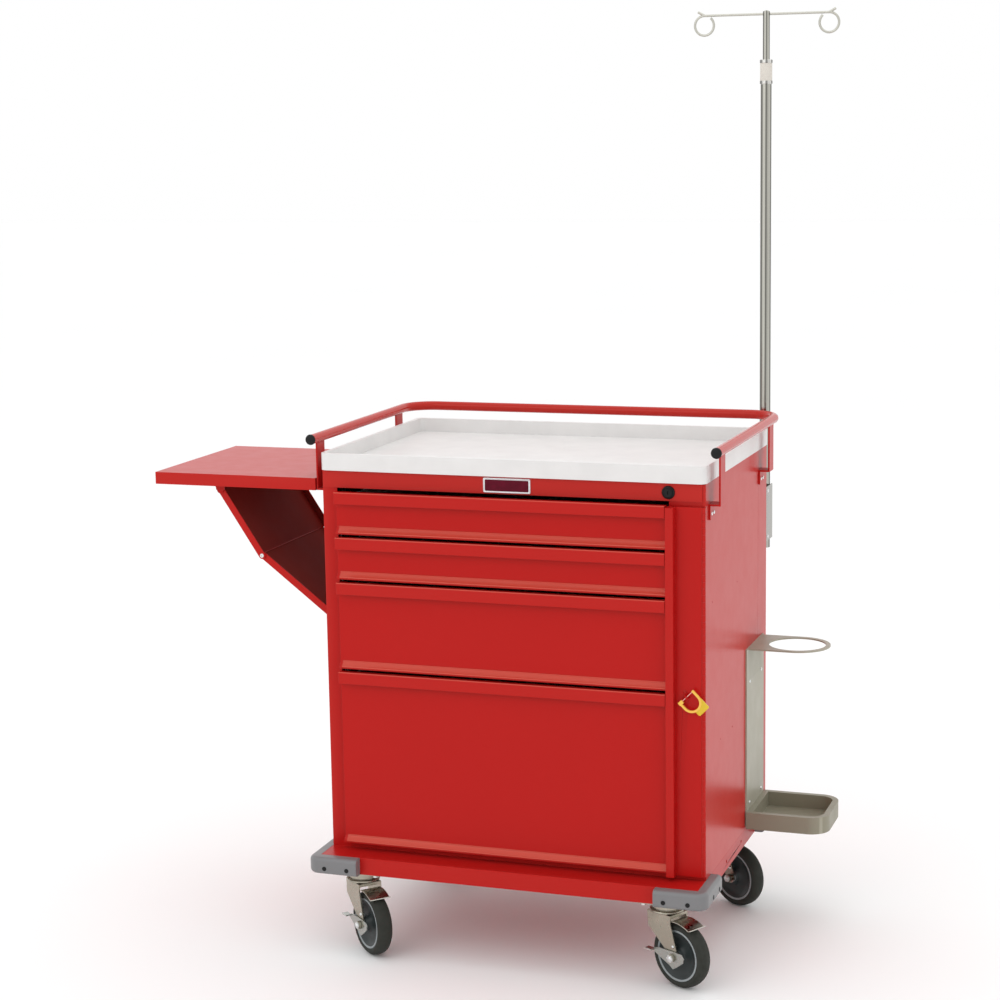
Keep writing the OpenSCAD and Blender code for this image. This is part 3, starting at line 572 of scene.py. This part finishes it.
def name_plate():
    """A chrome frame with beads on its four sides around a blank enamel field."""
    bm = bmesh.new()
    prism(bm, rounded_rect(PLATE_LEFT, PLATE_LOW, PLATE_RIGHT, PLATE_TOP, 3.0), 2.0, 3.4, FACING_FRONT)
    for z in (PLATE_LOW + 1.6, PLATE_TOP - 1.6):
        wire(bm, (PLATE_LEFT + 2.5, BEAD_Y, z), (PLATE_RIGHT - 2.5, BEAD_Y, z), 1.2, 12)
    for x in (PLATE_LEFT + 1.4, PLATE_RIGHT - 1.4):
        wire(bm, (x, BEAD_Y, PLATE_LOW + 3), (x, BEAD_Y, PLATE_TOP - 3), 0.7, 10)
    plate = finish_piece("name_plate_frame", bm, "cabinet", "chrome", bevel=0.3)
    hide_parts("name_plate")
    bm = bmesh.new()
    field = rounded_rect(PLATE_LEFT + 3.5, PLATE_LOW + 3.6, PLATE_RIGHT - 3.5, PLATE_TOP - 3.6, 2.0)
    prism(bm, field, 3.3, 3.9, FACING_FRONT)
    finish_piece("name_plate_field", bm, "cabinet", "enamel", bevel=0.25)


def lock_face():
    """The lock's round black rim, open for its plug."""
    bm = bmesh.new()
    barrel = [(8.6, -11), (10.4, -11), (10.4, 1.9)]
    rim = [(12.4, 1.9), (12.5, 3.4), (11.8, 4.8), (10.6, 5.7), (9.4, 6.0), (8.6, 5.6)]
    lathe(bm, barrel + rim, 64, facing((0, -1, 0), LOCK))
    ring = finish_piece("lock_ring", bm, "cabinet", "black", split=40)
    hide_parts("lock_bezel")


name_plate()
lock_face()


def cross_screw(bm, point, direction, r=3.6, h=1.8):
    """A pan-head screw with a cross recess."""
    m = facing(direction, point)
    dome = [(0.0, h * 0.55), (r * 0.30, h * 0.55), (r * 0.34, h * 0.98), (r * 0.66, h * 0.93)]
    dome += [(r * 0.90, h * 0.66), (r, h * 0.28), (r, 0.0), (0.0, 0.0)]
    lathe(bm, dome, 28, m, closed=False)
    for a in (0, 90):
        turn = Matrix.Rotation(math.radians(a), 4, "Z")
        box(bm, (-r * 0.52, -0.28, h * 0.8), (r * 0.52, 0.28, h * 1.0), m @ turn)


def screws():
    """The cross-recessed screws that fix brackets to the cabinet."""
    bm = bmesh.new()
    # two on each foot of the guard rail's four brackets
    for side in (-1, 1):
        for y in (32, 48, 450, 466):
            cross_screw(bm, (side * 384.5, y, 896.0), (side, 0, 0))
    # four on the cylinder holder's back strip
    for y in (353, 457):
        for z in (247.0, 499.0):
            cross_screw(bm, (384.0, y, z), (1, 0, 0))
    # two on the pole bracket's side and four on its back
    for z in (763.0, 858.0):
        cross_screw(bm, (381.0, 529.0, z), (1, 0, 0))
    for x in (345.0, 333.0):
        for z in (774.0, 847.0):
            cross_screw(bm, (x, 517.5, z), (0, 1, 0))
    heads = finish_piece("fixing_screws", bm, "cabinet", "bolt", split=40)
    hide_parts("panel_screws")


def rail_caps():
    """Domed plugs in the guard rail's two front ends."""
    bm = bmesh.new()
    dome = [(0.0, 4.0), (5.5, 3.75), (8.6, 3.0), (10.0, 1.7), (10.4, 0.0)]
    for side in (-1, 1):
        m = facing((0, -1, 0), (side * 402.0, -5.0, 1014.0))
        lathe(bm, dome + [(7.9, 0.0), (7.9, -14.0), (0.0, -14.0)], 48, m, closed=False)
    caps = finish_piece("rail_caps", bm, "cabinet", "black", split=40)
    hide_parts("rail_end_caps")


screws()
rail_caps()


# ---------------------------------------------------------------- drip pole collar and rod cap
COLLAR_FOOT = 1680.0
ROD_TOP = 1822.9
RIBS = 24


def collar():
    """Two polished bands around a ribbed grip, and the sleeve that enters the tube."""
    move = Matrix.Translation((POLE.x, POLE.y, COLLAR_FOOT))
    hole = ROD_R + 0.1
    bm = bmesh.new()
    for z0, z1 in ((0.4, 7.0), (41.6, 48.4)):
        profile = [(hole, z0), (BAND_R - 0.9, z0), (BAND_R, z0 + 1.0), (BAND_R, z1 - 1.0), (BAND_R - 0.9, z1)]
        lathe(bm, profile + [(hole, z1)], 56, move)
    lathe(bm, [(hole, -20), (9.4, -20), (9.4, 0.6), (hole, 0.6)], 40, move)
    bands = finish_piece("collar_bands", bm, "collar", "pole_band")
    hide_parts("iv_collar")
    bm = bmesh.new()
    outline = []
    for i in range(4 * RIBS):
        a = 2 * math.pi * i / (4 * RIBS)
        r = 12.2 if i % 4 < 2 else 11.7
        outline.append((r * math.cos(a), r * math.sin(a)))
    prism(bm, outline, 7.0, 41.6, move)
    finish_piece("collar_grip", bm, "collar", "grip", split=60)


def rod_cap():
    """The rounded cap on top of the sliding rod."""
    bm = bmesh.new()
    dome = [(0.0, 2.6), (3.0, 2.2), (5.4, 1.2), (6.6, 0.0), (0.0, 0.0)]
    lathe(bm, dome, 36, Matrix.Translation((POLE.x, POLE.y, ROD_TOP)), closed=False)
    finish_piece("rod_cap", bm, "pole_rod", "pole_rod", split=50)


collar()
rod_cap()


# ---------------------------------------------------------------- break seal
# The middle of the seal's wire. Its own axes: x hangs down to the right and z runs along the wire.
SEAL = Vector((348.5, -19.0, 557.0))
RING_CENTRE = 13.5
RING_OUTER, RING_INNER = 19.5, 15.2
WIRE_SIDE = -2.0


def break_seal():
    """The open ring with its tab and block, and the wire that closes it."""
    tilt = Matrix.Translation(SEAL) @ Matrix.Rotation(math.radians(45), 4, "Y")
    turn = tilt @ FACING_FRONT
    # open ring: the wire closes its upper left side
    bm = bmesh.new()
    outer = arc(RING_CENTRE, 0, RING_OUTER, 90, -90, 28)
    inner = arc(RING_CENTRE, 0, RING_INNER, -90, 90, 28)
    ends = [(WIRE_SIDE, -RING_OUTER), (WIRE_SIDE, -RING_INNER)]
    outline = [(WIRE_SIDE, RING_OUTER)] + outer + ends + inner + [(WIRE_SIDE, RING_INNER)]
    prism(bm, outline, -2.1, 2.1, turn)
    ring = finish_piece("seal_ring", bm, "seal", "seal", bevel=0.6, segments=3)
    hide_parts("break_seal")
    # thinner tab on the ring's lower right
    bm = bmesh.new()
    grip = [(19.5, 19.6), (40.5, 19.6), (42.5, 17.6), (42.5, -4.6), (40.5, -6.6), (29.0, -6.6)]
    prism(bm, grip + arc(RING_CENTRE, 0, 17.0, -20, 72, 16), -1.4, 1.4, turn)
    finish_piece("seal_tab", bm, "seal", "seal_tab", bevel=0.4, segments=2)
    # block that holds the wire's end
    bm = bmesh.new()
    prism(bm, rounded_rect(-3.0, -20.2, 4.5, -10.8, 1.2), -2.6, 2.6, turn)
    finish_piece("seal_lock_block", bm, "seal", "seal", bevel=0.5, segments=2)
    bm = bmesh.new()
    wire(bm, tilt @ Vector((0, 0, -20.0)), tilt @ Vector((0, 0, 19.0)), 0.8, 14)
    finish_piece("seal_wire", bm, "seal", "seal_wire", split=50)


break_seal()


# ---------------------------------------------------------------- casters
# corner: (x and y of the king pin, degrees from +X to the side where the wheel trails)
CASTERS = {"fl": (-310, -20, -42), "fr": (310, -20, -28), "bl": (-310, 450, -38), "br": (310, 450, -30)}
BRAKED = ("fl", "fr")
TRAIL = 38.0
WHEEL_R = 63.5


def swivel_matrix(c):
    """A matrix on the floor below the king pin whose +X points to where the wheel trails."""
    x, y, a = CASTERS[c]
    return Matrix.Translation((x, y, 0)) @ Matrix.Rotation(math.radians(a), 4, "Z")


def axle_matrix(c):
    """A matrix at the wheel's centre whose +Z runs along the axle and +Y straight up."""
    return swivel_matrix(c) @ Matrix.Translation((TRAIL, 0, WHEEL_R)) @ FACING_FRONT


def mirrored(half):
    """A half profile of (radius, height) points followed by its mirror image below."""
    return half + [(a, -b) for a, b in reversed(half)]


def wheel(c):
    """Tyre, core and bright rim rings of one wheel."""
    m = axle_matrix(c)
    bm = bmesh.new()
    half = [(49.3, 13.6), (51.5, 15.2), (55.5, 15.9), (58.3, 13.9), (60.6, 11.8), (62.2, 8.6)]
    half += [(63.1, 4.8), (WHEEL_R, 1.4)]
    lathe(bm, mirrored(half) + [(49.1, -10), (49.1, 10)], 96, m)
    tread = finish_piece(f"tread_{c}", bm, f"wheel_{c}", "tyre", split=50)
    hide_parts(f"tyre_{c}")
    bm = bmesh.new()
    disc = [(5.06, 20), (11.5, 20), (13.2, 18.6), (14.2, 13.0), (16.5, 9.0), (22, 7.0), (30, 6.6)]
    disc += [(36, 7.6), (40.5, 10.0), (43.4, 12.6), (46.2, 13.4), (48.95, 13.2)]
    lathe(bm, mirrored(disc), 96, m)
    core = finish_piece(f"wheel_core_{c}", bm, f"wheel_{c}", "hub", split=50)
    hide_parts(f"hub_{c}")
    bm = bmesh.new()
    for s in (-1, 1):
        ring = [(45.6, s * 13.2), (46.4, s * 14.3), (48.6, s * 14.6), (49.6, s * 13.9), (49.2, s * 12.8)]
        lathe(bm, ring, 96, m)
        cap = [(5.2, s * 19.4), (5.2, s * 20.7), (10.6, s * 20.7), (11.4, s * 19.6)]
        lathe(bm, cap, 48, m)
    finish_piece(f"rim_ring_{c}", bm, f"wheel_{c}", "hub_ring", split=40)


def hexagon(x, y, r):
    """The outline of a hexagon about (x, y), r from its centre to its corners."""
    return [(x + r * math.cos(math.radians(a)), y + r * math.sin(math.radians(a))) for a in range(0, 360, 60)]


def fork_details(c):
    """Raceway ring, the brake's strap over the tread and the axle nuts."""
    axle = axle_matrix(c)
    bm = bmesh.new()
    ring = [(29.2, 141.2), (32.6, 142.4), (33.6, 144.6), (32.6, 146.8), (29.2, 148.4)]
    lathe(bm, ring, 64, swivel_matrix(c))
    if c in BRAKED:
        # brake strap bent over the tread under the fork's crown, ending in a turned-up lip
        outline = arc(0, 0, 66.4, 60, 96, 12) + arc(0, 0, 68.4, 96, 60, 12)
        outline += [(39.8, 61.2), (40.6, 59.2), (35.4, 57.6)]
        prism(bm, outline, -21.2, 21.2, axle)
    finish_piece(f"strap_and_race_{c}", bm, f"caster_{c}", "zinc", bevel=0.5, split=40)
    bm = bmesh.new()
    prism(bm, hexagon(0, 0, 7.6), 33.1, 35.4, axle)
    lathe(bm, [(0, 37.6), (3.4, 37.2), (4.8, 35.9), (5.0, 33.0), (0, 33.0)], 32, axle, closed=False)
    prism(bm, hexagon(0, 0, 7.6), -35.0, -29.1, axle)
    # rivet on the fork's cheek above the axle
    spot = axle @ Matrix.Translation((0.0, 21.0, 24.5))
    lathe(bm, [(0, 2.9), (1.8, 2.7), (3.0, 1.7), (3.3, 0.0), (0, 0)], 24, spot, closed=False)
    finish_piece(f"axle_nuts_{c}", bm, f"caster_{c}", "bolt", bevel=0.3, split=40)


def plate_bolts():
    """Hex heads holding the caster plates to the base."""
    bm = bmesh.new()
    for x, y, _ in CASTERS.values():
        for dx in (-38, 38):
            for dy in (-27, 27):
                prism(bm, hexagon(x + dx, y + dy, 6), 157.6, 162.0)
    finish_piece("caster_plate_bolts", bm, "cabinet", "bolt", bevel=0.4, split=40)


for c in CASTERS:
    wheel(c)
    fork_details(c)
plate_bolts()


# ---------------------------------------------------------------- folding brace
UPPER_PIN = Vector((-622.0, 0.0, 900.0))
LOWER_PIN = Vector((-391.0, 0.0, 657.0))
KNEE = Vector((-536.9, 0.0, 769.9))
UPPER_Y = (44.0, 376.0)
LOWER_Y = (48.5, 371.5)
HALF_DEPTH = 7.0
# Thickness of a channel's web, its two flanges and the dark sheets of painted shade that line it.
WEB = 1.5
FLANGE = 2
SHADE_SHEET = 0.3


def along(start):
    """A matrix whose +X runs from start to the knee in the XZ plane, with Y kept, and the way's length."""
    d = KNEE - start
    return Matrix.Translation(start) @ Matrix.Rotation(-math.atan2(d.z, d.x), 4, "Y"), d.length


def link(name, body, start, ends_y, side, reach, node_name):
    """A folded sheet channel: full web on its outer side, two rounded flanges and dark sheets on its inner
    faces that paint their shade.

    side is the web's side (+1 or -1); reach is how far the web starts from the pin and ends past the knee.
    """
    m, length = along(start)
    y0, y1 = ends_y
    first, last = reach[0], length + reach[1]
    lo, hi = sorted((HALF_DEPTH * side, (HALF_DEPTH - WEB) * side))
    bm = bmesh.new()
    box(bm, (first, y0 + 0.3, lo), (last, y1 - 0.3, hi), m)
    for y in (y0, y1 - FLANGE):
        outline = arc(length, 0, HALF_DEPTH, 270, 450, 12)
        if first > 0:
            outline += arc(0, 0, HALF_DEPTH, 90, 270, 12)
        else:
            outline += [(first, HALF_DEPTH), (first, -HALF_DEPTH)]
        prism(bm, outline, 0, FLANGE, m @ Matrix.Translation((0, y + FLANGE, 0)) @ FACING_FRONT)
    piece = finish_piece(name, bm, body, "red", bevel=0.5, segments=2, split=40)
    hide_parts(node_name)
    # dark sheets just inside the web and flanges: painted shade for the channel's inside
    bm = bmesh.new()
    lo, hi = sorted(((HALF_DEPTH - WEB) * side, (HALF_DEPTH - WEB - SHADE_SHEET) * side))
    inset = FLANGE + SHADE_SHEET
    box(bm, (first + 1, y0 + inset, lo), (last - 1, y1 - inset, hi), m)
    for y in (y0 + FLANGE + 0.02, y1 - inset - 0.02):
        box(bm, (9, y, -5.0), (length - 9, y + SHADE_SHEET, 5.0), m)
    finish_piece(name + "_inside", bm, body, "red_painted_shade", split=40)


def knee_screws():
    """A screw head on each side of the brace's knee."""
    bm = bmesh.new()
    for y, out in zip(UPPER_Y, (-1, 1)):
        cross_screw(bm, (KNEE.x, y, KNEE.z), (0, out, 0), 4.5, 2.0)
    finish_piece("knee_screws", bm, "upper_link", "bolt", split=40)


link("brace_channel_upper", "upper_link", UPPER_PIN, UPPER_Y, -1, (-13.0, -4.5), "brace_upper")
link("brace_channel_lower", "lower_link", LOWER_PIN, LOWER_Y, 1, (8.0, 8.0), "brace_lower")
knee_screws()


# ---------------------------------------------------------------- camera, floor and light
YAW, PITCH_DOWN, ROLL = math.radians(19.19), math.radians(9.63), math.radians(-0.94)
CAMERA_AT = at(1356.8, -3949.2, 1619.9)
SENSOR = 36.0
LENS = 80.8452


def make_camera():
    """The photo's camera: turned by YAW from straight ahead, tipped down and rolled a little."""
    ahead = Vector((-math.sin(YAW) * math.cos(PITCH_DOWN), math.cos(YAW) * math.cos(PITCH_DOWN),
                    -math.sin(PITCH_DOWN)))
    level = Vector((math.cos(YAW), math.sin(YAW), 0))
    up = level.cross(ahead)
    right = level * math.cos(ROLL) + up * math.sin(ROLL)
    top = up * math.cos(ROLL) - level * math.sin(ROLL)
    data = bpy.data.cameras.new("camera")
    data.sensor_width = SENSOR
    data.lens = LENS
    data.clip_start, data.clip_end = 0.05, 100
    cam = bpy.data.objects.new("camera", data)
    m = Matrix((right, top, -ahead)).transposed().to_4x4()
    m.translation = CAMERA_AT
    cam.matrix_world = m
    bpy.context.scene.collection.objects.link(cam)
    bpy.context.scene.camera = cam


def make_floor():
    """A wide white floor at height zero."""
    mesh = bpy.data.meshes.new("floor")
    half = 30.0
    corners = [(-half, -half, 0), (half, -half, 0), (half, half, 0), (-half, half, 0)]
    mesh.from_pydata(corners, [], [(0, 1, 2, 3)])
    mesh.materials.append(studio_floor())
    floor = bpy.data.objects.new("floor", mesh)
    bpy.context.scene.collection.objects.link(floor)


def area_light(name, place, target, size, power):
    """A rectangular lamp at place that faces target."""
    data = bpy.data.lights.new(name, "AREA")
    data.shape = "RECTANGLE"
    data.size, data.size_y = size
    data.energy = power
    lamp = bpy.data.objects.new(name, data)
    lamp.location = place
    lamp.rotation_euler = (Vector(target) - Vector(place)).to_track_quat("-Z", "Y").to_euler()
    bpy.context.scene.collection.objects.link(lamp)


def make_world():
    """An even white studio; what the camera sees of it is plain white."""
    world = bpy.data.worlds.new("studio")
    bpy.context.scene.world = world
    world.use_nodes = True
    nt = world.node_tree
    nt.nodes.clear()
    out = nt.nodes.new("ShaderNodeOutputWorld")
    lit = nt.nodes.new("ShaderNodeBackground")
    seen = nt.nodes.new("ShaderNodeBackground")
    mix = nt.nodes.new("ShaderNodeMixShader")
    path = nt.nodes.new("ShaderNodeLightPath")
    lit.inputs["Color"].default_value = (1, 1, 1, 1)
    lit.inputs["Strength"].default_value = 1.06
    seen.inputs["Color"].default_value = (1, 1, 1, 1)
    seen.inputs["Strength"].default_value = 1.0
    nt.links.new(path.outputs["Is Camera Ray"], mix.inputs[0])
    nt.links.new(lit.outputs[0], mix.inputs[1])
    nt.links.new(seen.outputs[0], mix.inputs[2])
    nt.links.new(mix.outputs[0], out.inputs["Surface"])


make_camera()
make_floor()
make_world()
area_light("key", (-1.6, -3.4, 3.2), (0, 0, 0.6), (2.2, 2.2), 14)
area_light("top", (0.3, 0.2, 3.6), (0, 0, 0.8), (3.0, 3.0), 12)
area_light("side", (3.6, 0.6, 1.6), (0.3, 0, 0.7), (2.0, 2.4), 0.5)

view = bpy.context.scene.view_settings
view.view_transform = "Standard"
view.look = "None"
